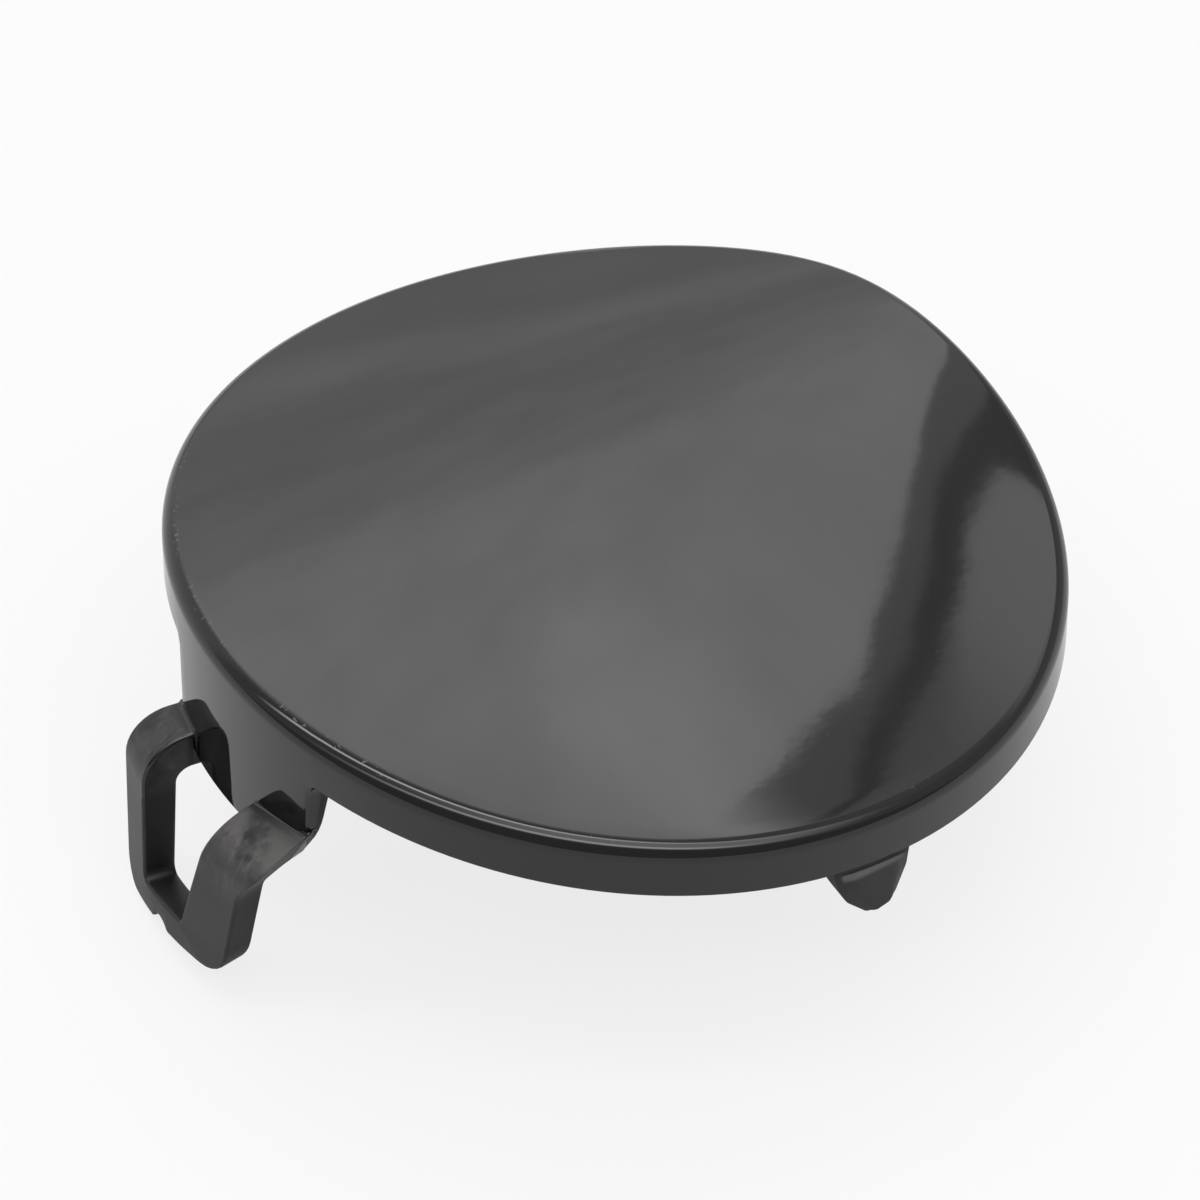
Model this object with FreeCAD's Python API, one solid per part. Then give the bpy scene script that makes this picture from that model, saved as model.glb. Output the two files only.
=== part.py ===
"""Tow hook cover: a round moulded cap with a curved face, a shallow skirt, a loop hook and two snap clips.

Millimetres. The origin is on the skirt's axis at the mean height of the face's rim, +Z points out of the
bumper, and the loop hook hangs on the -X side. The whole cover is one moulding, so it is one solid.
"""

import math
import os

import FreeCAD
import Part
from FreeCAD import Vector

# Skirt and shell
cover_radius = 37.5
skirt_height = 4.9
edge_radius = 1.7
skirt_wall = 2.3
face_thickness = 2.5

# Face: two flanks that meet along a soft ridge, tight at the far end and wide at the loop's end
crest_height = 6.4
ridge_turn = 6.1
ridge_offset = 11.7
ridge_slope = 0.335
ridge_round_at_loop = 33.0
ridge_round_at_far_end = 9.3
fall_to_far_end = 0.0274
fall_to_ridge_side = 0.064
crown_radius = 217.0
face_grid = 13

# Tab: the stretch of skirt that reaches further down and carries the loop
tab_half_angle = 15.6
tab_depth = 11.8
tab_foot_wall = 1.3
tab_flare = 1.7

# Loop: a strap that leaves the tab, bends down and closes below it
strap_top_depth = 9.3
strap_root_height = 3.0
strap_root_rise = 0.6
strap_thickness = 2.8
loop_gap = 1.9
bend_radius = 1.6
loop_lean = 2.5
loop_inner_lean = 4.0
loop_tilt = 4.4
straight_leg_width = 5.1
raked_leg_root = 6.7
raked_leg_width = 5.0
raked_leg_inner_rake = 16.5
raked_leg_outer_rake = 10.5
root_flare_height = 5.2
loop_reach = 25.4
bar_height = 2.7
bar_slope = 12.5
straight_corner_radius = 2.4
raked_corner_radius = 4.2
root_corner_radius = 3.2
window_corner_radius = 0.8
gate_scar_side = 2.9
gate_scar_radius = 1.6
gate_scar_depth = 0.9

# Snap clips: one each side of the loop
clip_angle = 91.4
clip_drop = 4.8
clip_top_width = 6.9
clip_shoulder_width = 5.6
clip_shoulder_drop = 2.9
clip_tip_width = 1.5
clip_tip_radius = 0.9
barb_ledge_drop = 0.2
barb_reach = 0.5

inner_radius = cover_radius - skirt_wall
loop_inner_radius = cover_radius + loop_gap
loop_outer_radius = loop_inner_radius + strap_thickness


def face_height(x, y):
    """Height of the face over the point x, y."""
    turn = math.radians(ridge_turn)
    along = x * math.cos(turn) + y * math.sin(turn)
    across = y * math.cos(turn) - x * math.sin(turn)
    from_ridge = across - ridge_offset
    share = (along / cover_radius + 1) / 2
    rounding = ridge_round_at_loop * (ridge_round_at_far_end / ridge_round_at_loop) ** share
    flank_fall = ridge_slope * (math.hypot(from_ridge, rounding) - rounding)
    crown_fall = along ** 2 / (2 * crown_radius)
    return crest_height - flank_fall - crown_fall - fall_to_far_end * along - fall_to_ridge_side * across


def rim_height(angle):
    """Height of the face at the rim, at an angle in degrees about the skirt's axis."""
    turn = math.radians(angle)
    return face_height(cover_radius * math.cos(turn), cover_radius * math.sin(turn))


def face_sheet(drop):
    """The face as a square sheet that covers the whole cap, lowered by drop."""
    half = cover_radius + 2 * edge_radius
    steps = [half * (2 * i / (face_grid - 1) - 1) for i in range(face_grid)]
    rows = [[Vector(x, y, face_height(x, y) - drop) for y in steps] for x in steps]
    sheet = Part.BSplineSurface()
    sheet.interpolate(rows)
    return sheet.toShape()


def upright(radius):
    """A cylinder on the skirt's axis that is taller than the cover."""
    depth = 2 * cover_radius
    return Part.makeCylinder(radius, 2 * depth, Vector(0, 0, -depth))


def rounded_outline(corners):
    """A closed flat wire through corners, each a point and a radius, with arcs in place of the corners."""
    count = len(corners)
    edges = []
    ends = []
    for i, (corner, radius) in enumerate(corners):
        back = (corners[i - 1][0] - corner).normalize()
        ahead = (corners[(i + 1) % count][0] - corner).normalize()
        if radius == 0:
            ends.append((corner, corner))
            continue
        half_turn = back.getAngle(ahead) / 2
        setback = radius / math.tan(half_turn)
        middle = corner + (back + ahead).normalize() * (radius / math.sin(half_turn) - radius)
        first = corner + back * setback
        last = corner + ahead * setback
        edges.append((i, Part.Arc(first, middle, last).toShape()))
        ends.append((first, last))
    arcs = dict(edges)
    outline = []
    for i in range(count):
        if i in arcs:
            outline.append(arcs[i])
        outline.append(Part.LineSegment(ends[i][1], ends[(i + 1) % count][0]).toShape())
    return Part.Wire(outline)


def spun(section, half_angle):
    """A section on the -X side, spun about the skirt's axis by half_angle to each side."""
    face = Part.Face(rounded_outline(section))
    face.rotate(Vector(), Vector(0, 0, 1), -half_angle)
    return face.revolve(Vector(), Vector(0, 0, 1), 2 * half_angle)


def fan(outline, first_reach, last_reach):
    """A block on the -X side whose outline widens with its distance from the skirt's axis.

    The outline's corners are (side, height, radius), with side measured at the loop's outer radius.
    """
    wires = []
    for reach in (first_reach, last_reach):
        spread = reach / loop_outer_radius
        corners = [(Vector(-reach, -side * spread, height), radius) for side, height, radius in outline]
        wires.append(rounded_outline(corners))
    return Part.makeLoft(wires, True, True)


def make_cap():
    """The face and its skirt: a shell that is open underneath, with the rim's edge rounded."""
    blank = face_sheet(0).extrude(Vector(0, 0, -skirt_height)).common(upright(cover_radius))
    rim = [edge for edge in blank.Edges if is_rim(edge)]
    blank = blank.makeFillet(edge_radius, rim)
    hollow = face_sheet(face_thickness).extrude(Vector(0, 0, -2 * skirt_height)).common(upright(inner_radius))
    return blank.cut(hollow)


def is_rim(edge):
    """Whether an edge runs round the top of the blank."""
    middle = edge.valueAt((edge.FirstParameter + edge.LastParameter) / 2)
    on_wall = abs(math.hypot(middle.x, middle.y) - cover_radius) < edge_radius / 100
    level = abs(middle.z - face_height(middle.x, middle.y)) < skirt_height / 4
    return on_wall and level and edge.Length > skirt_height * 2


def make_hook():
    """The tab and its loop: one straight leg, one raked leg and the bar that joins them below the tab."""
    outline, window = loop_outlines()
    first_reach = inner_radius * math.cos(math.radians(tab_half_angle)) - skirt_wall
    last_reach = loop_outer_radius + loop_reach * math.tan(math.radians(loop_lean)) + strap_thickness
    blank = fan(outline, first_reach, last_reach)
    top = rim_height(180) - skirt_height / 2
    section = [
        (inner_radius, top),
        (cover_radius, top),
        (cover_radius, -tab_depth),
        (cover_radius - tab_foot_wall, -tab_depth),
        (inner_radius, rim_height(180) - skirt_height),
    ]
    tab = spun([(Vector(-radius, 0, height), 0) for radius, height in section], 2 * tab_half_angle)
    opening = fan(window, first_reach - skirt_wall, last_reach + skirt_wall)
    loop = make_strap().common(blank).cut(opening).cut(make_gate_scar(last_reach))
    return tab.common(blank).fuse(loop)


def make_gate_scar(last_reach):
    """The scoop left in the bar's lower edge where the moulding was cut from its runner."""
    height = bar_under(-gate_scar_side) + gate_scar_depth - gate_scar_radius
    start = Vector(-last_reach, gate_scar_side, height)
    return Part.makeCylinder(gate_scar_radius, 2 * loop_gap + strap_thickness, start, Vector(1, 0, 0))


def bar_under(side):
    """Height of the bar's lower edge, at a distance to one side of the loop's middle."""
    return side * math.tan(math.radians(bar_slope)) - loop_reach


def loop_outlines():
    """The hook's outline and the window in it, as corners seen from outside."""
    edge_side = loop_outer_radius * math.tan(math.radians(tab_half_angle))
    inner_rake = math.tan(math.radians(raked_leg_inner_rake))
    outer_rake = math.tan(math.radians(raked_leg_outer_rake))
    slope = math.tan(math.radians(bar_slope))
    top = rim_height(180) - skirt_height / 2
    root = -strap_top_depth

    window_left = straight_leg_width - edge_side
    root_inside = edge_side - raked_leg_root
    root_outside = root + edge_side * math.tan(math.radians(loop_tilt))
    neck = root_outside - root_flare_height
    neck_outside = root_inside - (root - neck) * inner_rake + raked_leg_width

    def meet_bar(side, height, rake, lift):
        """Where a raked line down from a point meets the bar's lower edge, raised by lift."""
        drop = (height - lift - bar_under(side)) / (1 - rake * slope)
        return side - drop * rake, height - drop

    tip_side, tip_height = meet_bar(neck_outside, neck, outer_rake, 0)
    window_side, window_height = meet_bar(root_inside, root, inner_rake, bar_height)
    outline = [
        (-edge_side, top, 0),
        (-edge_side, bar_under(-edge_side), straight_corner_radius),
        (tip_side, tip_height, raked_corner_radius),
        (neck_outside, neck, root_corner_radius),
        (edge_side, root_outside, root_corner_radius),
        (edge_side + tab_flare, top, 0),
    ]
    window = [
        (window_left, top, 0),
        (window_left, bar_under(window_left) + bar_height, window_corner_radius),
        (window_side, window_height, window_corner_radius),
        (root_inside + (top - root) * inner_rake, top, 0),
    ]
    return outline, window


def make_strap():
    """The strap's bent section, spun about the skirt's axis: out of the tab, round the bend and down."""
    rooted = cover_radius - skirt_wall / 2
    under = strap_top_depth + strap_root_height
    foot = 1.5 * loop_reach
    outer_foot = loop_outer_radius + math.tan(math.radians(loop_lean)) * (foot - strap_top_depth)
    inner_foot = loop_inner_radius + math.tan(math.radians(loop_inner_lean)) * (foot - under)
    section = [
        (Vector(-rooted, 0, strap_root_rise - strap_top_depth), 0),
        (Vector(-loop_outer_radius, 0, -strap_top_depth), bend_radius + strap_thickness),
        (Vector(-outer_foot, 0, -foot), 0),
        (Vector(-inner_foot, 0, -foot), 0),
        (Vector(-loop_inner_radius, 0, -under), bend_radius),
        (Vector(-rooted, 0, -under), 0),
    ]
    strap = spun(section, 2 * tab_half_angle)
    strap.rotate(Vector(0, 0, -strap_top_depth), Vector(1, 0, 0), -loop_tilt)
    return strap


def make_clip(angle):
    """A barbed clip that hangs from the skirt's lower edge, at an angle from the loop."""
    ledge = rim_height(180 + angle) - skirt_height
    rooted = ledge + skirt_height / 2
    barb = cover_radius + barb_reach
    tip = ledge - clip_drop
    section = [
        (inner_radius, rooted),
        (cover_radius, rooted),
        (cover_radius, ledge - barb_ledge_drop),
        (barb, ledge - barb_ledge_drop - barb_reach / 2),
        (barb, tip - barb_reach),
        (inner_radius, tip - barb_reach),
    ]
    body = spun([(Vector(-radius, 0, height), 0) for radius, height in section], tab_half_angle)
    shoulder = ledge - clip_shoulder_drop
    outline = [
        (-clip_top_width / 2, rooted, 0),
        (-clip_top_width / 2, ledge, 0),
        (-clip_shoulder_width / 2, shoulder, clip_tip_radius),
        (-clip_tip_width / 2, tip, clip_tip_radius),
        (clip_tip_width / 2, tip, clip_tip_radius),
        (clip_shoulder_width / 2, shoulder, clip_tip_radius),
        (clip_top_width / 2, ledge, 0),
        (clip_top_width / 2, rooted, 0),
    ]
    clip = body.common(fan(outline, inner_radius - skirt_wall, barb + skirt_wall))
    clip.rotate(Vector(), Vector(0, 0, 1), angle)
    return clip


def make_cover():
    """The whole moulding as one solid."""
    cap = make_cap()
    features = [make_hook(), make_clip(clip_angle), make_clip(-clip_angle)]
    return cap.fuse(features).removeSplitter()


cover = make_cover()
os.makedirs("parts", exist_ok=True)
cover.Solids[0].exportStep("parts/tow_hook_cover.step")
print("solids", len(cover.Solids), "valid", cover.isValid(), "volume", round(cover.Volume), cover.BoundBox)
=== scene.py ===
import math

import bmesh
import bpy
from mathutils import Matrix, Vector


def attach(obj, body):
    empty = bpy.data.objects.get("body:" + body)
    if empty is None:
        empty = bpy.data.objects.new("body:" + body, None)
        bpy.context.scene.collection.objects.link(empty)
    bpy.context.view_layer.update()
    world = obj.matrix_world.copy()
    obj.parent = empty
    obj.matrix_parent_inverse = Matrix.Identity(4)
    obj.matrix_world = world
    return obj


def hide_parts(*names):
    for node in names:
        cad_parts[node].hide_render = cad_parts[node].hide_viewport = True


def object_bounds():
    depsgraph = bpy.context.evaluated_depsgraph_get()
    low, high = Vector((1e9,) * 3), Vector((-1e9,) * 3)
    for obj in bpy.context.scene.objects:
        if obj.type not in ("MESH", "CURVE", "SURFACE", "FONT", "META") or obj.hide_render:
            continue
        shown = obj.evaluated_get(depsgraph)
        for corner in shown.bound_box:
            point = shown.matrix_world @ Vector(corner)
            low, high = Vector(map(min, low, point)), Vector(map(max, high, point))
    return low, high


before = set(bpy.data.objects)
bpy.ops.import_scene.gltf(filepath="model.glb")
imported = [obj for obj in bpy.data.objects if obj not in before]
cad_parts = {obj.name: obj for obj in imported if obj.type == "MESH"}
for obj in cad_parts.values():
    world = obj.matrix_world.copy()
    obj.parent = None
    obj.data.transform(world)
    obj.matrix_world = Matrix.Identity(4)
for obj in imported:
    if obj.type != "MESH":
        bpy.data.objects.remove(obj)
cad_box = [list(corner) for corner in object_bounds()]


# The cover's shell: a round face with a soft ridge, a rounded rim, a short skirt and the tab that
# hangs from the skirt behind the loop. It is one thin wall of glossy black plastic, moulded in a
# polished tool, and it closes the towing eye's opening in a bumper.

cover_radius = 37.5
skirt_height = 4.9
skirt_wall = 2.3
skirt_ease = 0.22
rim_round = 1.7
face_thickness = 2.5
tab_depth = 11.8
tab_foot_wall = 1.3
tab_edge_round = 1.0
tab_half_angle = math.radians(15.6)
loop_outer_radius = 42.2
loop_reach = 25.4
strap_top = 9.3
strap_tilt = math.radians(4.4)
bar_slope = math.tan(math.radians(12.5))
outline_steps = 7
rim_steps = 10
rim_top = cover_radius - rim_round + 0.55


def face_height(x, y):
    """Height of the face over a point, in millimetres: a ridge that softens to the loop, on a crown."""
    ridge_turn = math.radians(6.1)
    ridge_offset = 11.7
    ridge_slope = 0.335
    soft_at_loop = 33.0
    soft_at_far_end = 9.3
    crown_radius = 217.0
    crest = 6.4
    fall_along = 0.0274
    fall_across = 0.064
    along = x * math.cos(ridge_turn) + y * math.sin(ridge_turn)
    across = y * math.cos(ridge_turn) - x * math.sin(ridge_turn)
    softness = soft_at_loop * (soft_at_far_end / soft_at_loop) ** ((along / cover_radius + 1) / 2)
    flank = ridge_slope * (math.hypot(across - ridge_offset, softness) - softness)
    crown = along ** 2 / (2 * crown_radius)
    return crest - flank - crown - fall_along * along - fall_across * across


def face_normal(x, y):
    """The direction straight out of the face."""
    step = 0.02
    slope_x = (face_height(x + step, y) - face_height(x - step, y)) / (2 * step)
    slope_y = (face_height(x, y + step) - face_height(x, y - step)) / (2 * step)
    return Vector((-slope_x, -slope_y, 1)).normalized()


def skirt_foot(angle):
    """Height of the skirt's lower edge."""
    return face_height(cover_radius * math.cos(angle), cover_radius * math.sin(angle)) - skirt_height


class Outline:
    """A line of points with its corners rounded, each corner a (side, height, radius)."""

    def __init__(self, corners, steps=outline_steps):
        self.points = []
        self.starts = []
        for i, (side, height, radius) in enumerate(corners):
            corner = Vector((side, height))
            if radius == 0 or i in (0, len(corners) - 1):
                self.starts.append(len(self.points))
                self.points.append(corner)
                continue
            back = (Vector(corners[i - 1][:2]) - corner).normalized()
            ahead = (Vector(corners[i + 1][:2]) - corner).normalized()
            half_turn = back.angle(ahead) / 2
            centre = corner + (back + ahead).normalized() * radius / math.sin(half_turn)
            first = corner + back * radius / math.tan(half_turn) - centre
            last = corner + ahead * radius / math.tan(half_turn) - centre
            sweep = math.atan2(first.x * last.y - first.y * last.x, first.dot(last))
            self.starts.append(len(self.points))
            for step in range(steps + 1):
                turned = first.copy()
                turned.rotate(Matrix.Rotation(sweep * step / steps, 2))
                self.points.append(centre + turned)

    def side_at(self, height, first, last):
        """The side where the line, between two of its points, crosses a height."""
        run = self.points[first:last + 1]
        for a, b in zip(run, run[1:]):
            if min(a.y, b.y) - 1e-6 <= height <= max(a.y, b.y) + 1e-6 and abs(b.y - a.y) > 1e-9:
                return a.x + (b.x - a.x) * (height - a.y) / (b.y - a.y)
        return min(run, key=lambda point: abs(point.y - height)).x


def hook_lines():
    """The hook's outer edge and the edge of the window in it, seen from outside."""
    edge = loop_outer_radius * math.tan(tab_half_angle)
    top = face_height(-cover_radius, 0) - skirt_height / 2
    inner_rake = math.tan(math.radians(16.5))
    outer_rake = math.tan(math.radians(10.5))
    straight_leg = 5.1
    raked_root = 7.05
    raked_leg = 5.35
    neck_drop = 5.2
    bar_height = 2.7
    window_round = 0.8
    root_wider = 0.6
    top_wider = 2.6

    def under(side):
        """Height of the bar's lower edge at a side."""
        return side * bar_slope - loop_reach

    def meet(side, height, rake, lift):
        """Where a raked edge from a side and height meets a line so far above the bar's lower edge."""
        drop = (height - lift - under(side)) / (1 - rake * bar_slope)
        return side - drop * rake, height - drop

    window_left = straight_leg - edge
    root_inside = edge - raked_root
    root_outside = edge * math.tan(strap_tilt) - strap_top
    neck = root_outside - neck_drop
    neck_outside = root_inside + (neck + strap_top) * inner_rake + raked_leg
    outer = Outline([
        (-edge, top, 0),
        (-edge, under(-edge), 2.4),
        (*meet(neck_outside, neck, outer_rake, 0), 4.2),
        (neck_outside, neck, 3.2),
        (edge + root_wider, root_outside, 8.0),
        (edge + top_wider, top, 0),
    ])
    window = Outline([
        (window_left, top, 0),
        (window_left, under(window_left) + bar_height, window_round),
        (*meet(root_inside, -strap_top, inner_rake, bar_height), window_round),
        (root_inside + (top + strap_top) * inner_rake, top, 0),
    ])
    return outer, window


def new_piece(name, vertices, faces, bevel, second_finish=()):
    """A smooth mesh from points in millimetres, its sharp edges eased, some faces in a second finish."""
    mesh = bpy.data.meshes.new(name)
    mesh.from_pydata([Vector(v) / 1000 for v in vertices], [], faces)
    for i in second_finish:
        mesh.polygons[i].material_index = 1
    work = bmesh.new()
    work.from_mesh(mesh)
    bmesh.ops.remove_doubles(work, verts=work.verts, dist=1e-7)
    bmesh.ops.recalc_face_normals(work, faces=work.faces)
    work.to_mesh(mesh)
    work.free()
    mesh.shade_smooth()
    piece = bpy.data.objects.new(name, mesh)
    bpy.context.scene.collection.objects.link(piece)
    if bevel:
        ease = piece.modifiers.new("eased_edges", "BEVEL")
        ease.width = bevel / 1000
        ease.segments = 3
        ease.limit_method = "ANGLE"
        ease.angle_limit = math.radians(40)
        weld = piece.modifiers.new("joined_points", "WELD")
        weld.merge_threshold = 2e-6
    flow = piece.modifiers.new("even_shading", "WEIGHTED_NORMAL")
    flow.keep_sharp = True
    return piece


outer_line, window_line = hook_lines()
flank_first, flank_last = outer_line.starts[3], len(outer_line.points) - 1


def tab_edges(height):
    """The tab's two edges at a height, as angles about the skirt's axis."""
    flank = outer_line.side_at(height, flank_first, flank_last)
    return math.pi - tab_half_angle, math.pi + math.atan(flank / loop_outer_radius)


def make_shell():
    """The points and faces of the face, rim, skirt and tab, ring by ring from the middle out."""
    around_steps = 170
    face_steps = 30
    ceiling_steps = 10
    tab_rows = 12
    middle_steps = 18
    first, last = tab_edges(skirt_foot(math.pi + tab_half_angle))
    tab_width = cover_radius * (last - first)
    near_edge = [tab_edge_round * (1 - math.cos(math.radians(turn))) for turn in (0, 30, 60, 90)]
    middle_width = tab_width - 2 * near_edge[-1]
    offsets = near_edge + [near_edge[-1] + middle_width * i / middle_steps for i in range(1, middle_steps)]
    offsets += [tab_width - offset for offset in reversed(near_edge)]
    tab_steps = len(offsets) - 1
    angles = [first + (last - first) * offset / tab_width for offset in offsets[:-1]]
    rest_of_turn = 2 * math.pi - (last - first)
    angles += [last + rest_of_turn * i / around_steps for i in range(around_steps)]
    count = len(angles)
    rings = []

    inner_radius = cover_radius - skirt_wall
    rim_arc = []
    for angle in angles:
        out = Vector((math.cos(angle), math.sin(angle), 0))
        centre = out * (cover_radius - rim_round)
        normal = face_normal(centre.x, centre.y)
        centre.z = face_height(centre.x, centre.y) - rim_round / normal.z
        spread = out.angle(normal)
        arc = []
        for step in range(rim_steps + 1):
            share = step / rim_steps
            lean = normal * math.sin((1 - share) * spread) + out * math.sin(share * spread)
            arc.append(centre + lean * (rim_round / math.sin(spread)))
        rim_arc.append(arc)

    for step in range(1, face_steps):
        share = step / face_steps
        ring = []
        for arc in rim_arc:
            x, y = arc[0].x * share, arc[0].y * share
            ring.append(Vector((x, y, face_height(x, y))))
        rings.append(ring)
    for step in range(rim_steps + 1):
        rings.append([arc[step] for arc in rim_arc])
    wall_outside = []
    wall_inside = []
    for angle in angles:
        x, y = math.cos(angle), math.sin(angle)
        wall_outside.append(Vector((x * cover_radius, y * cover_radius, skirt_foot(angle))))
        wall_inside.append(Vector((x * inner_radius, y * inner_radius, skirt_foot(angle))))
    rings.append([a.lerp(b, 0.5) for a, b in zip(rings[-1], wall_outside)])
    foot_ring = len(rings)
    rings.append(wall_outside)
    rings.append(wall_inside)
    ceiling = []
    for angle in angles:
        x, y = math.cos(angle) * inner_radius, math.sin(angle) * inner_radius
        ceiling.append(Vector((x, y, face_height(x, y) - face_thickness)))
    rings.append(ceiling)
    for step in range(ceiling_steps - 1, 0, -1):
        ring = []
        for point in ceiling:
            x, y = point.x * step / ceiling_steps, point.y * step / ceiling_steps
            ring.append(Vector((x, y, face_height(x, y) - face_thickness)))
        rings.append(ring)

    vertices = [point for ring in rings for point in ring]
    faces = []
    dull = []
    for r in range(len(rings) - 1):
        for i in range(count):
            if r == foot_ring and i < tab_steps:
                continue
            j = (i + 1) % count
            if r >= foot_ring:
                dull.append(len(faces))
            faces.append((r * count + i, r * count + j, (r + 1) * count + j, (r + 1) * count + i))
    top_middle = len(vertices)
    vertices.append(Vector((0, 0, face_height(0, 0))))
    vertices.append(Vector((0, 0, face_height(0, 0) - face_thickness)))
    last_ring = (len(rings) - 1) * count
    for i in range(count):
        j = (i + 1) % count
        faces.append((top_middle, i, j))
        dull.append(len(faces))
        faces.append((top_middle + 1, last_ring + j, last_ring + i))

    outside = [foot_ring * count + i for i in range(tab_steps + 1)]
    inside = [(foot_ring + 1) * count + i for i in range(tab_steps + 1)]
    for row in range(1, tab_rows + 1):
        share = row / tab_rows
        next_outside = []
        next_inside = []
        for i in range(tab_steps + 1):
            start = skirt_foot(angles[i])
            height = start + (-tab_depth - start) * share
            left, right = tab_edges(height)
            angle = left + (right - left) * offsets[i] / tab_width
            x, y = math.cos(angle), math.sin(angle)
            inner = inner_radius + (skirt_wall - tab_foot_wall) * share
            inset = max(tab_edge_round - min(offsets[i], tab_width - offsets[i]), 0)
            dip = tab_edge_round - math.sqrt(tab_edge_round ** 2 - inset ** 2)
            outer = cover_radius - dip * min((start - height) / tab_edge_round, 1)
            next_outside.append(len(vertices))
            vertices.append(Vector((x * outer, y * outer, height)))
            next_inside.append(len(vertices))
            vertices.append(Vector((x * inner, y * inner, height)))
        for i in range(tab_steps):
            faces.append((outside[i], outside[i + 1], next_outside[i + 1], next_outside[i]))
            dull.append(len(faces))
            faces.append((inside[i], next_inside[i], next_inside[i + 1], inside[i + 1]))
        for i in (0, tab_steps):
            dull.append(len(faces))
            faces.append((outside[i], next_outside[i], next_inside[i], inside[i]))
        outside, inside = next_outside, next_inside
    for i in range(tab_steps):
        dull.append(len(faces))
        faces.append((outside[i], outside[i + 1], inside[i + 1], inside[i]))
    return vertices, faces, dull


class Socket:
    """A node's output in a shader, so that shader maths reads as plain expressions."""

    def __init__(self, tree, socket):
        self.tree = tree
        self.socket = socket

    def node(self, kind, settings, **values):
        """A node of a kind with its settings, then its sockets, by name (_ for a space) or by _number."""
        made = self.tree.nodes.new(kind)
        for key, value in settings.items():
            if key == "stops":
                ramp = made.color_ramp
                while len(ramp.elements) < len(value):
                    ramp.elements.new(0.5)
                for element, (place, level) in zip(ramp.elements, value):
                    element.position = place
                    element.color = (level, level, level, 1)
            else:
                setattr(made, key, value)
        for key, value in values.items():
            sockets = [s for s in made.inputs if s.name.replace(" ", "_") == key and s.enabled]
            index = 0
            if not sockets:
                sockets = [s for s in made.inputs if s.enabled]
                index = int(key.lstrip("_"))
            if isinstance(value, Socket):
                self.tree.links.new(value.socket, sockets[index])
            else:
                sockets[index].default_value = value
        return made

    def out(self, made, name=None):
        """An output of a node, as another value to reckon with."""
        shown = [s for s in made.outputs if s.enabled]
        return Socket(self.tree, made.outputs[name] if name else shown[0])

    def math(self, operation, *values):
        """A sum on values, by the Math node's own name for it."""
        numbered = {f"_{i}": value for i, value in enumerate(values)}
        return self.out(self.node("ShaderNodeMath", {"operation": operation}, **numbered))

    def __add__(self, other):
        return self.math("ADD", self, other)

    def __radd__(self, other):
        return self.math("ADD", other, self)

    def __sub__(self, other):
        return self.math("SUBTRACT", self, other)

    def __rsub__(self, other):
        return self.math("SUBTRACT", other, self)

    def __mul__(self, other):
        return self.math("MULTIPLY", self, other)

    def __rmul__(self, other):
        return self.math("MULTIPLY", other, self)

    def __truediv__(self, other):
        return self.math("DIVIDE", self, other)

    def step(self, low, high):
        """0 below low and 1 above high, smooth in between; the other way round where high is lower."""
        made = self.node("ShaderNodeMapRange", {"interpolation_type": "SMOOTHSTEP"},
                         Value=self, From_Min=min(low, high), From_Max=max(low, high))
        smooth = self.out(made)
        return smooth if high > low else 1 - smooth

    def band(self, start, full, fade, end):
        """1 from full to fade, and 0 before start and after end."""
        return self.step(start, full) * self.step(end, fade)

    def noise(self, place, scale, detail, roughness=0.5):
        """A noise of so many lumps to one unit of a place, about 0.5 on the whole."""
        made = self.node("ShaderNodeTexNoise", {}, Vector=place, Scale=scale, Detail=detail,
                         Roughness=roughness)
        return self.out(made, "Fac")

    def mix(self, low, high):
        """From one colour to another by this value."""
        made = self.node("ShaderNodeMix", {"data_type": "RGBA"}, Factor=self)
        for name, value in (("A", low), ("B", high)):
            socket = [s for s in made.inputs if s.name == name and s.type == "RGBA"][0]
            if isinstance(value, Socket):
                self.tree.links.new(value.socket, socket)
            else:
                socket.default_value = (*value, 1)
        return Socket(self.tree, [s for s in made.outputs if s.type == "RGBA"][0])


def new_material(name):
    """An empty node material: its surface shader, and the place on the part that its patterns read."""
    material = bpy.data.materials.new(name)
    material.use_nodes = True
    tree = material.node_tree
    surface = tree.nodes["Principled BSDF"]
    place = tree.nodes.new("ShaderNodeTexCoord")
    return material, surface, Socket(tree, place.outputs["Object"])


def feed(surface, name, value):
    """Lead a value that changes over the part into one of its surface's sockets."""
    value.tree.links.new(value.socket, surface.inputs[name])


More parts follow.
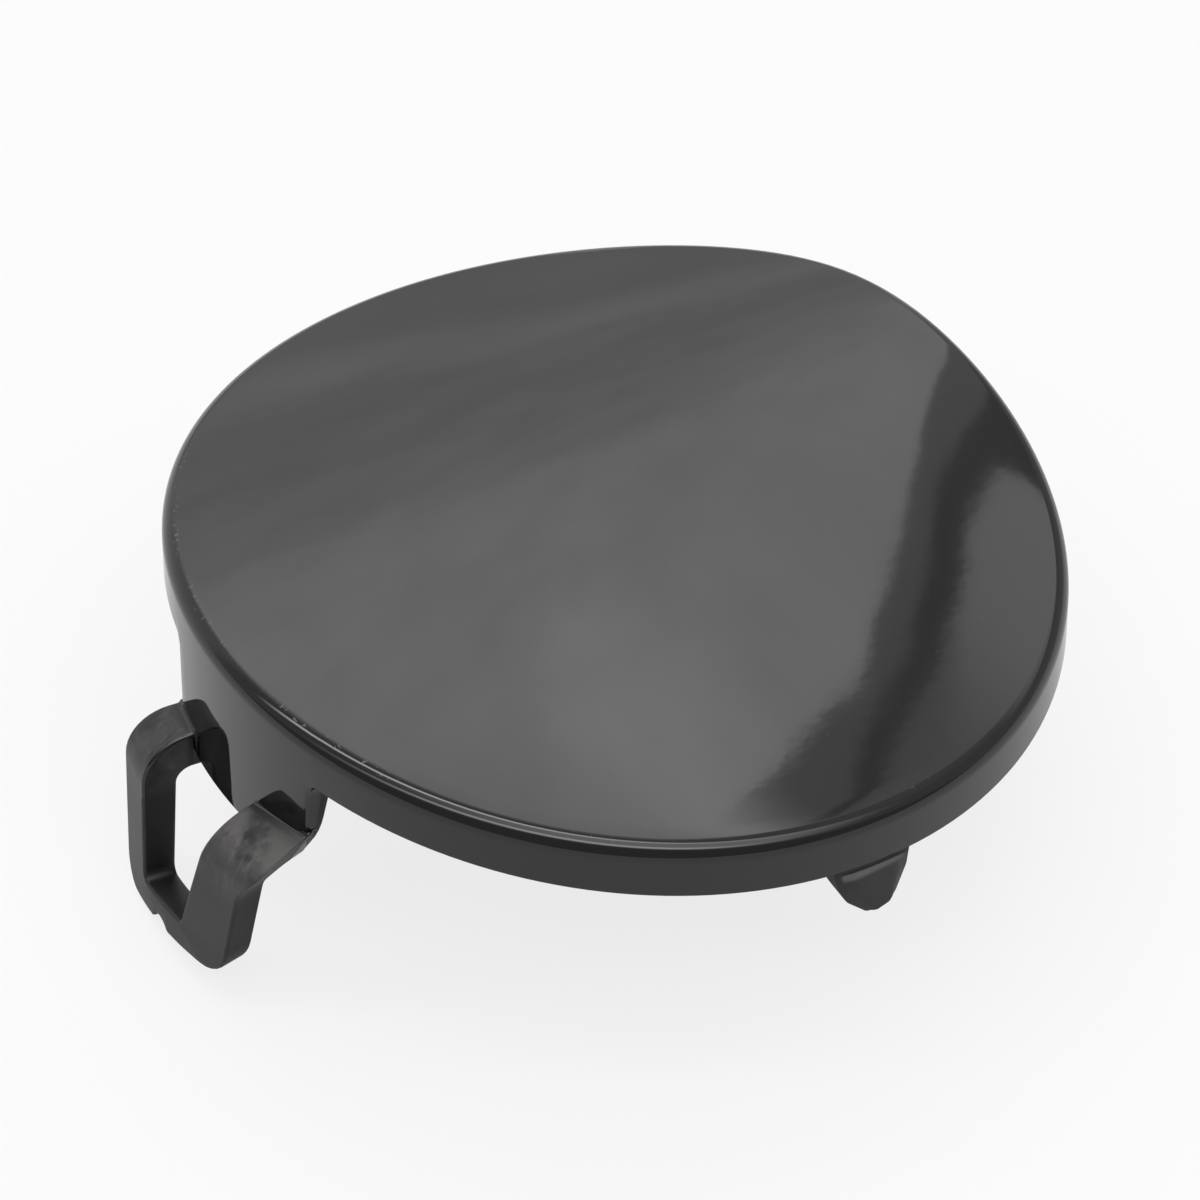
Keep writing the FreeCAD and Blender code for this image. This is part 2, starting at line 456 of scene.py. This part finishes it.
def polished_black():
    """Black plastic from a polished tool: clear reflections, faint haze, hairline rubs, a nicked rim whose
    pale nicks are also painted glints along its highlight line.
    """
    material, surface, place = new_material("polished_black_plastic")
    haze = place.noise(place, 45.0, 3.0)
    dust = place.noise(place, 2600.0, 2.0, 0.6)
    specks = dust.step(0.70, 0.76)
    stretched = place.out(place.node("ShaderNodeMapping", {}, Vector=place,
                                     Rotation=(0.0, 0.0, 0.6), Scale=(60.0, 2400.0, 60.0)))
    rubs = place.noise(stretched, 1.0, 1.0).step(0.70, 0.78) * haze.step(0.5, 0.62)
    parts = place.node("ShaderNodeSeparateXYZ", {}, Vector=place)
    x, y = place.out(parts, "X"), place.out(parts, "Y")
    radius = place.math("SQRT", x * x + y * y) * 1000
    # The rim band lies on the rim's highlight line. The pale nicks in it are wear and also painted glints
    # on that line.
    rim = radius.band(rim_top - 0.35, rim_top, rim_top + 0.15, rim_top + 0.5)
    nick_and_glint_patches = place.noise(place, 60.0, 1.0).step(0.50, 0.62)
    nicks_and_glints = rim * place.noise(place, 2400.0, 1.0).step(0.62, 0.70) * nick_and_glint_patches
    plain = (haze * 0.6 + specks * 0.4).mix((0.005, 0.0045, 0.005), (0.011, 0.010, 0.0105))
    # The nicks' pale colour is partly wear and partly a painted glint on the rim.
    feed(surface, "Base Color", nicks_and_glints.mix(plain, (0.06, 0.058, 0.058)))
    feed(surface, "Roughness", 0.02 + haze * 0.035 + rubs * 0.05 + specks * 0.08 + nicks_and_glints * 0.35)
    ripple = place.noise(place, 130.0, 2.0) * 0.6 + place.noise(place, 900.0, 1.0) * 0.10 + dust * 0.015
    bump = place.node("ShaderNodeBump", {}, Strength=0.02, Distance=0.0004, Height=ripple)
    feed(surface, "Normal", place.out(bump))
    surface.inputs["IOR"].default_value = 1.5
    return material


def satin_black():
    """The same black plastic with a fine satin grain, scuffed paler where the strap bends, and with a
    painted highlight along the clips' barb ledges.
    """
    material, surface, place = new_material("satin_black_plastic")
    cloud = place.noise(place, 160.0, 3.0)
    grain = place.noise(place, 5200.0, 2.0, 0.6)
    parts = place.node("ShaderNodeSeparateXYZ", {}, Vector=place)
    x, y, height = place.out(parts, "X"), place.out(parts, "Y"), place.out(parts, "Z") * 1000
    radius = place.math("SQRT", x * x + y * y) * 1000
    on_loop = radius.step(cover_radius + 0.5, cover_radius + 1.0)
    handled = height.band(-15.5, -12.0, -9.5, -7.5) * on_loop
    raked_top = height.step(-11.6, -9.2) * (y * 1000).step(-1.0, -7.0) * on_loop
    on_barb = radius.step(cover_radius + 0.04, cover_radius + 0.14) * (1 - on_loop)
    # A painted highlight: the upper ledge of each clip's barb is made paler for the light it catches.
    barb_ledge_highlight = on_barb * height.step(-8.4, -7.8)
    rubbed = place.out(place.node("ShaderNodeMapping", {}, Vector=place, Scale=(420.0, 1500.0, 420.0)))
    strokes = place.noise(rubbed, 1.0, 4.0, 0.6).step(0.50, 0.74) * handled
    soft = place.noise(place, 330.0, 4.0, 0.6).step(0.30, 0.62)
    scuffs_and_highlight = soft * (0.05 + handled * 0.2 + raked_top * 0.45) + strokes * 0.3 + barb_ledge_highlight * 0.7
    plain = cloud.mix((0.004, 0.004, 0.0045), (0.011, 0.0105, 0.0115))
    # The pale colour serves both the scuffs and the painted highlight on the barbs' ledges.
    feed(surface, "Base Color", scuffs_and_highlight.mix(plain, (0.12, 0.117, 0.114)))
    feed(surface, "Roughness", 0.30 + cloud * 0.14 + grain * 0.08 + scuffs_and_highlight * 0.10)
    bump = place.node("ShaderNodeBump", {}, Strength=0.12, Distance=0.0001, Height=grain + scuffs_and_highlight * 0.6)
    feed(surface, "Normal", place.out(bump))
    surface.inputs["IOR"].default_value = 1.5
    surface.inputs["Specular IOR Level"].default_value = 0.33
    return material


gloss = polished_black()
satin = satin_black()
shell_points, shell_faces, shell_dull = make_shell()
shell = new_piece("cover_shell", shell_points, shell_faces, skirt_ease, shell_dull)
shell.data.materials.append(gloss)
shell.data.materials.append(satin)
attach(shell, "root")
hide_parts("tow_hook_cover")


# The hook's loop: a flat strap moulded on the tab. It goes out, turns down round a bend and ends in a
# sloping bar between one straight leg and one raked leg, with its edges a little rounded. It is the same
# plastic from a duller side of the tool, and the bar's lower edge keeps the scoop of its cut gate.

loop_inner_radius = 39.4
strap_root_height = 3.0
strap_edge_round = 0.34
strap_ease = 0.09
root_fillet = 0.3
root_stations = [-0.05, 0.01, 0.03, 0.07, 0.12, 0.2, root_fillet]
bar_radius = 43.0
scoop_place = 2.9
scoop_depth = 0.9
scoop_radius = 1.6


def strap_profile(outer):
    """One side of the strap, as (radius, height) from the tab round the bend, and its lean below."""
    if outer:
        corner = Vector((loop_outer_radius, -strap_top))
        rise, bend_radius, lean = 0.6, 4.4, math.radians(2.5)
    else:
        corner = Vector((loop_inner_radius, -strap_top - strap_root_height))
        rise, bend_radius, lean = 0.0, 1.6, math.radians(4.0)
    bend_steps = 10
    well_below = 30
    root = Vector((cover_radius - skirt_wall / 2, corner.y + rise))
    foot = corner + well_below * Vector((math.sin(lean), -math.cos(lean)))
    bend = Outline([(*root, 0), (*corner, bend_radius), (*foot, 0)], bend_steps)
    start = bend.points[1]
    reach = start.x - root.x
    near_wall = [root.lerp(start, (cover_radius + off - root.x) / reach) for off in root_stations]
    return [root] + near_wall + bend.points[1:-1], math.tan(lean)


profiles = {outer: strap_profile(outer) for outer in (True, False)}


def tilted(x, y, z):
    """A point of the upright strap, with the strap turned down towards its straight leg."""
    drop = z + strap_top
    cosine, sine = math.cos(strap_tilt), math.sin(strap_tilt)
    return Vector((x, y * cosine + drop * sine, drop * cosine - y * sine - strap_top))


def on_bend(outer, station, limit):
    """Where an edge of the hook crosses a station of the bend; limit gives its side at a height."""
    radius, height = profiles[outer][0][station]
    angle = limit(height) / loop_outer_radius
    for _ in range(30):
        point = tilted(-radius * math.cos(angle), -radius * math.sin(angle), height)
        side = -point.y / -point.x * loop_outer_radius
        angle += (limit(point.z) - side) / loop_outer_radius * 0.7
    return point


def on_leg(outer, side, height):
    """The point of the strap below its bend at a side and a height."""
    end, slope = profiles[outer][0][-1], profiles[outer][1]
    reach = end.x
    for _ in range(20):
        y = -side * reach / loop_outer_radius
        drop = height + strap_top
        upright_y = y * math.cos(strap_tilt) - drop * math.sin(strap_tilt)
        upright_z = y * math.sin(strap_tilt) + drop * math.cos(strap_tilt) - strap_top
        reach *= (end.x + (end.y - upright_z) * slope) / math.hypot(reach, upright_y)
    return Vector((-reach, -side * reach / loop_outer_radius, height))


def run_between(points, count):
    """So many points spread evenly along a line of points, its ends among them."""
    lengths = [0.0]
    for a, b in zip(points, points[1:]):
        lengths.append(lengths[-1] + (b - a).length)
    spread = []
    for step in range(count):
        along = lengths[-1] * step / (count - 1)
        k = max(i for i in range(len(points) - 1) if lengths[i] <= along + 1e-9)
        share = (along - lengths[k]) / max(lengths[k + 1] - lengths[k], 1e-9)
        spread.append(points[k].lerp(points[k + 1], min(share, 1.0)))
    return spread


def gate_scar(point):
    """A point of the bar's lower edge, lifted where the gate's scoop is."""
    off = abs(point.x + scoop_place * loop_outer_radius / bar_radius)
    if off >= scoop_radius:
        return point
    middle = scoop_depth - scoop_radius - scoop_place * bar_slope - loop_reach
    return Vector((point.x, max(point.y, middle + math.sqrt(scoop_radius ** 2 - off ** 2))))


def root_flare(station):
    """How far the strap's root swells beside the tab, at one station of the bend."""
    if station == 0:
        return root_fillet
    if station > len(root_stations):
        return 0.0
    off = min(max(root_stations[station - 1], 0.0), root_fillet)
    return root_fillet - math.sqrt(root_fillet ** 2 - (root_fillet - off) ** 2)


def swollen(section, flare):
    """A section whose upper side is raised by its root's flare."""
    edge_up = (section[0] - section[3]).normalized() * flare
    window_up = (section[1] - section[2]).normalized() * flare
    return [section[0] + edge_up, section[1] + window_up, section[2], section[3]]


def make_loop():
    """The loop as a rounded section carried from one root, down, along the bar and up to the other root."""
    outer_points, window_points = outer_line.points, window_line.points
    o_starts, w_starts = outer_line.starts, window_line.starts
    stations = []

    def left_edge(height):
        return outer_points[0].x

    def left_window(height):
        return window_points[0].x

    def right_edge(height):
        return outer_line.side_at(height, o_starts[2], len(outer_points) - 1)

    def right_window(height):
        return window_line.side_at(height, w_starts[2], len(window_points) - 1)

    bend_stations = range(len(profiles[True][0]))
    for k in bend_stations:
        section = [on_bend(True, k, left_edge), on_bend(True, k, left_window),
                   on_bend(False, k, left_window), on_bend(False, k, left_edge)]
        stations.append(swollen(section, root_flare(k)))
    low = stations[-1]
    start_edge = Vector((left_edge(0), low[0].z))
    start_window = Vector((left_window(0), low[1].z))
    last = [on_bend(True, bend_stations[-1], right_edge), on_bend(True, bend_stations[-1], right_window)]
    end_edge = Vector((right_edge(last[0].z), last[0].z))
    end_window = Vector((right_window(last[1].z), last[1].z))

    straight_steps, bar_steps, raked_steps = 8, 50, 16
    arc = outline_steps
    foot, tip = o_starts[1], o_starts[2]
    neck = [point for point in outer_points[o_starts[3]:o_starts[5]] if point.y < end_edge.y]
    edge_runs = [
        run_between([start_edge, outer_points[foot]], straight_steps)[1:-1],
        outer_points[foot:foot + arc + 1],
        run_between([outer_points[foot + arc], outer_points[tip]], bar_steps)[1:-1],
        outer_points[tip:tip + arc + 1],
        run_between([outer_points[tip + arc], *neck, end_edge], raked_steps)[1:-1],
    ]
    foot, tip = w_starts[1], w_starts[2]
    window_runs = [
        run_between([start_window, window_points[foot]], straight_steps)[1:-1],
        window_points[foot:foot + arc + 1],
        run_between([window_points[foot + arc], window_points[tip]], bar_steps)[1:-1],
        window_points[tip:tip + arc + 1],
        run_between([window_points[tip + arc], end_window], raked_steps)[1:-1],
    ]
    for edge_run, window_run in zip(edge_runs, window_runs):
        for edge, inside in zip(edge_run, window_run):
            edge = gate_scar(edge) if edge_run is edge_runs[2] else edge
            stations.append([on_leg(True, *edge), on_leg(True, *inside),
                             on_leg(False, *inside), on_leg(False, *edge)])
    for k in reversed(bend_stations):
        section = [on_bend(True, k, right_edge), on_bend(True, k, right_window),
                   on_bend(False, k, right_window), on_bend(False, k, right_edge)]
        stations.append(swollen(section, root_flare(k)))

    vertices = []
    faces = []
    corner_steps = 4
    around = 4 * (corner_steps + 1)
    for section in stations:
        for k, corner in enumerate(section):
            back = (section[k - 1] - corner).normalized()
            ahead = (section[(k + 1) % 4] - corner).normalized()
            for step in range(corner_steps + 1):
                turn = math.pi / 2 * step / corner_steps
                along_back = strap_edge_round * (1 - math.sin(turn)) - strap_ease
                along_ahead = strap_edge_round * (1 - math.cos(turn)) - strap_ease
                point = corner + back * along_back + ahead * along_ahead
                point.x = max(point.x, cad_box[0][0] * 1000)
                point.z = max(point.z, cad_box[0][2] * 1000)
                vertices.append(point)
    window_edge = range(corner_steps + 1, 2 * corner_steps + 1)
    polished = []
    for s in range(len(stations) - 1):
        at_root = min(s, len(stations) - 2 - s) < len(root_stations)
        on_straight_bend = s < len(bend_stations)
        for k in range(around):
            j = (k + 1) % around
            if at_root or (on_straight_bend and k in window_edge):
                polished.append(len(faces))
            faces.append((s * around + k, s * around + j, (s + 1) * around + j, (s + 1) * around + k))
    faces.append(tuple(range(around)))
    faces.append(tuple((len(stations) - 1) * around + k for k in range(around)))
    return vertices, faces, polished


loop_points, loop_faces, loop_polished = make_loop()
loop = new_piece("hook_loop", loop_points, loop_faces, 0, loop_polished)
loop.data.materials.append(satin)
loop.data.materials.append(gloss)
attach(loop, "root")


# The snap clips: two short tongues that hang from the skirt's lower edge, one each side of the loop.
# Each is moulded with the skirt, narrows to a small round tip and has a barb that stands a little proud
# of the wall, which springs behind the edge of the bumper's opening.

clip_angle = math.radians(91.4)
clip_lean = math.radians(11)
clip_inset = 0.12
clip_ease = 0.1
barb_reach = 0.33
barb_slant = 0.27
barb_end = 0.97
barb_fade = 0.4
clip_half_line = Outline([
    (4.05, 1.6, 0),
    (4.0, -0.9, 0),
    (3.35, -2.7, 2.0),
    (1.5, -5.2, 1.0),
    (0.0, -5.2, 0),
])


def make_clip(angle):
    """One clip as rows of points from its root in the skirt to its tip, with the barb across its top."""
    middle = math.pi + angle
    foot = skirt_foot(middle)
    hand = math.copysign(1, angle)
    lean = clip_lean * hand
    inside_skirt = cover_radius - clip_inset
    rows = [
        (1.5, barb_slant, inside_skirt, 0),
        (0.2, barb_slant, inside_skirt, 0),
        (-0.02, barb_slant, cover_radius, 0),
        (-0.27, barb_slant, cover_radius, 0),
        (-0.33, barb_slant, cover_radius, barb_reach),
        (-1.1, barb_slant / 2, cover_radius, barb_reach),
        (-1.8, barb_slant / 6, cover_radius, barb_reach),
    ]
    for point in clip_half_line.points[clip_half_line.starts[2]:-1]:
        rows.append((point.y, 0, cover_radius, barb_reach))
    columns = 14
    wide = columns + 1
    last_point = len(clip_half_line.points) - 2
    vertices = []
    faces = []
    for base, slant, outer, reach in rows:
        line = []
        for i in range(wide):
            share = 2 * i / columns - 1
            drop = base
            for _ in range(6):
                side = share * clip_half_line.side_at(drop, 0, last_point)
                drop = base - slant * side * hand
            turned = side * math.cos(lean) - drop * math.sin(lean)
            height = foot + drop * math.cos(lean) + side * math.sin(lean)
            ease = min(max((barb_end - abs(share)) / barb_fade, 0), 1)
            line.append((turned, height, outer + reach * ease * ease * (3 - 2 * ease)))
        inner = cover_radius - skirt_wall + (clip_inset if outer == inside_skirt else 0.0)
        for inside in (False, True):
            for side, height, radius in line:
                turn = middle + math.asin(side / loop_outer_radius)
                radius = inner if inside else radius
                vertices.append(Vector((radius * math.cos(turn), radius * math.sin(turn), height)))
    for row in range(len(rows) - 1):
        here, below = row * 2 * wide, (row + 1) * 2 * wide
        for i in range(columns):
            faces.append((here + i, here + i + 1, below + i + 1, below + i))
            faces.append((here + wide + i, below + wide + i, below + wide + i + 1, here + wide + i + 1))
        faces.append((here, below, below + wide, here + wide))
        faces.append((here + columns, here + wide + columns, below + wide + columns, below + columns))
    bottom = (len(rows) - 1) * 2 * wide
    for i in range(columns):
        faces.append((i, wide + i, wide + i + 1, i + 1))
        faces.append((bottom + i, bottom + i + 1, bottom + wide + i + 1, bottom + wide + i))
    return vertices, faces


for name, angle in (("near_clip", clip_angle), ("far_clip", -clip_angle)):
    clip = new_piece(name, *make_clip(angle), clip_ease)
    clip.data.materials.append(satin)
    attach(clip, "root")


# The floor: a wide pale sheet under the hook's lowest edge, matt, so that it catches the cover's soft
# shadow. It is whitened where the camera sees it, and so the part stands on near white with little light
# from below.

floor_colour = (0.58, 0.58, 0.58)
floor_half = 4
floor_whitened = 0.8
mirrored_whitened = 0.1
lowest = cad_box[0][2]
floor_corners = [(-1, -1), (1, -1), (1, 1), (-1, 1)]
floor_mesh = bpy.data.meshes.new("floor")
floor_mesh.from_pydata([(x * floor_half, y * floor_half, lowest) for x, y in floor_corners], [],
                       [(0, 1, 2, 3)])
floor = bpy.data.objects.new("floor", floor_mesh)
bpy.context.scene.collection.objects.link(floor)
pale, floor_surface, floor_place = new_material("pale_floor")
floor_surface.inputs["Base Color"].default_value = (*floor_colour, 1)
floor_surface.inputs["Roughness"].default_value = 0.9
floor_surface.inputs["Specular IOR Level"].default_value = 0.0
paths = floor_place.node("ShaderNodeLightPath", {})
mirrored = floor_place.out(paths, "Is Glossy Ray") + floor_place.out(paths, "Is Transmission Ray")
seen = floor_place.out(paths, "Is Camera Ray") * floor_whitened + mirrored * mirrored_whitened
seen = floor_place.math("MINIMUM", seen, floor_whitened)
white = floor_place.node("ShaderNodeEmission", {}, Strength=1.0)
whitened = floor_place.node("ShaderNodeMixShader", {}, Fac=seen)
pale.node_tree.links.new(floor_surface.outputs[0], whitened.inputs[1])
pale.node_tree.links.new(white.outputs[0], whitened.inputs[2])
pale.node_tree.links.new(whitened.outputs[0], pale.node_tree.nodes["Material Output"].inputs[0])
floor_mesh.materials.append(pale)


# The camera: a long lens that looks down on the cover from the raked leg's side, with the loop at the
# left and the ridge running away to the right. It stands 60 cm off and takes in the whole part.

camera_azimuth = math.radians(-31.8)
camera_elevation = math.radians(42.824)
camera_distance = 0.6
aim = Vector((-4.93, -5.29, -1.26)) / 1000
above = Vector((0, 0, 1))
away = Vector((-math.sin(camera_azimuth), math.cos(camera_azimuth), 0))
right = Vector((away.y, -away.x, 0))
camera_data = bpy.data.cameras.new("camera")
camera_data.lens = 219.5
camera_data.sensor_width = 36
camera = bpy.data.objects.new("camera", camera_data)
bpy.context.scene.collection.objects.link(camera)
back_to_camera = above * math.sin(camera_elevation) - away * math.cos(camera_elevation)
camera.location = aim + back_to_camera * camera_distance
camera.rotation_euler = (math.pi / 2 - camera_elevation, 0, camera_azimuth)
bpy.context.scene.camera = camera
bpy.context.scene.view_settings.view_transform = "Standard"


# The room: its light comes from a tall diffuser behind the part, which dims towards the horizon, and a
# second panel beside it with a dark gap between the two. Two strip lights hang overhead with a glow
# between them, and a soft grey fill comes from all round.

diffuser_turn = math.radians(8)
diffuser_tilt = math.radians(50)
diffuser_power = 3.4
diffuser_tint = (1.0, 0.975, 0.97)
diffuser_levels = [
    (0.0, 0.145), (0.028, 0.175), (0.056, 0.22), (0.078, 0.285), (0.111, 0.295), (0.139, 0.33),
    (0.167, 0.375), (0.194, 0.425), (0.222, 0.495), (0.239, 0.545), (0.256, 0.65), (0.278, 0.72),
    (0.294, 0.77), (0.350, 0.82), (0.378, 0.65), (0.411, 0.38), (0.455, 0.18),
]
first_strip_power = 6.6
second_strip_power = 3.8
between_power = 1.7
plain_white = (1.0, 1.0, 1.0)
world = bpy.data.worlds.new("studio")
bpy.context.scene.world = world
world.use_nodes = True
sky = world.node_tree
direction = Socket(sky, sky.nodes.new("ShaderNodeTexCoord").outputs["Generated"])


def along(axis):
    """How far a direction in the room points along an axis."""
    made = direction.node("ShaderNodeVectorMath", {"operation": "DOT_PRODUCT"},
                          _0=direction, _1=tuple(axis))
    return direction.out(made, "Value")


def tinted(colour, level):
    """A colour of light at a level that changes round the room."""
    made = direction.node("ShaderNodeVectorMath", {"operation": "SCALE"}, _0=colour, Scale=level)
    return direction.out(made)


# swing goes from the horizon behind the part, 0, over the top, 0.5, to the horizon behind the camera, 1.
sideways, forward, upward = along(right), along(away), along(above)
swing = direction.math("ARCTAN2", upward, forward) / math.pi
dimming = direction.node("ShaderNodeValToRGB", {"stops": diffuser_levels}, Fac=swing)

# Places on the plane of the diffuser, which stands a little to the right and leans over the part.
across = right * math.cos(diffuser_turn) - away * math.sin(diffuser_turn)
out_there = right * math.sin(diffuser_turn) + away * math.cos(diffuser_turn)
facing = out_there * math.cos(diffuser_tilt) + above * math.sin(diffuser_tilt)
tall = above * math.cos(diffuser_tilt) - out_there * math.sin(diffuser_tilt)
depth = direction.math("MAXIMUM", along(facing), 0.05)
panel_x, panel_y = along(across) / depth, along(tall) / depth

# The diffuser's right edge bends in upwards, with a small bulge, and comes in again at the foot. Its top
# spreads to the right.
bend = direction.math("MAXIMUM", panel_y + 0.12, 0.0)
flare = direction.math("MAXIMUM", -0.14 - panel_y, 0.0)
bulge = panel_y.band(-0.01, 0.03, 0.04, 0.07) * 0.0045
edge = panel_x - 0.332 + bend * bend * 1.3 + flare * 0.15 - bulge
near_top = panel_y.step(0.12, 0.19) * panel_x.step(0.34, 0.24)
lit = direction.math("MAXIMUM", edge.step(0.003, -0.003), near_top)
lit = lit * sideways.step(-0.64, -0.40) * swing.step(0.50, 0.46)
patchy = 0.85 + direction.noise(direction, 13.0, 3.0) * 0.3
brighter_side = 1 + sideways.step(0.08, 0.38) * swing.band(0.12, 0.18, 0.22, 0.27) * 0.3
lobe = 1 + panel_x.band(0.0, 0.12, 0.20, 0.30) * panel_y.band(0.06, 0.13, 0.17, 0.24) * 0.22
panel = direction.out(dimming) * diffuser_power * lit * patchy * brighter_side * lobe

# The gap is darkest in a narrow core along the second panel's slanting edge, and wider at the foot.
widening = panel_y.step(-0.17, -0.22) * 0.05
swell = panel_y.band(-0.13, -0.065, -0.02, 0.075) * 0.0095
far_edge = panel_x - 0.3325 + panel_y * 0.28 - widening - swell
core_width = 0.009 + widening + direction.math("MAXIMUM", panel_y * -0.08, 0.0)
core = (far_edge + core_width).step(-0.005, 0.003) * far_edge.step(0.004, -0.003)
gap = (0.38 - core * 0.48) * edge.step(0.2, 0.1) * forward.step(0.1, 0.3)

# The second panel begins softly at that edge, and is brighter low down.
soft_edge = 0.010 + panel_y.step(-0.07, 0.03) * 0.018
side_panel = ((far_edge + 0.004) / soft_edge).step(0.0, 1.0)
side_panel = side_panel * (1 - lit) * panel_y.step(-0.215, -0.185)
side_panel = side_panel * sideways.step(0.9, 0.6) * along(facing).step(0.15, 0.4)
beyond = side_panel * (0.15 + panel_y.step(0.05, -0.09) * 0.70)

# The strips overhead, the glow between them and the fill.
first_strip = swing.band(0.495, 0.515, 0.535, 0.555) * sideways.band(-0.92, -0.60, -0.3, 0.75)
second_strip = swing.band(0.655, 0.68, 0.71, 0.735) * sideways.band(-0.95, -0.25, 0.3, 0.7)
between = swing.band(0.50, 0.53, 0.68, 0.72) * sideways.band(-0.6, 0.15, 0.5, 0.85)
overhead = first_strip * first_strip_power + second_strip * second_strip_power + between * between_power
fill = 0.5 - swing.step(0.70, 0.80) * 0.22
all_round = (fill + gap) * (1 - lit) + beyond + overhead
light = direction.node("ShaderNodeVectorMath", {"operation": "ADD"},
                       _0=tinted(diffuser_tint, panel), _1=tinted(plain_white, all_round))
sky.links.new(light.outputs[0], sky.nodes["Background"].inputs["Color"])
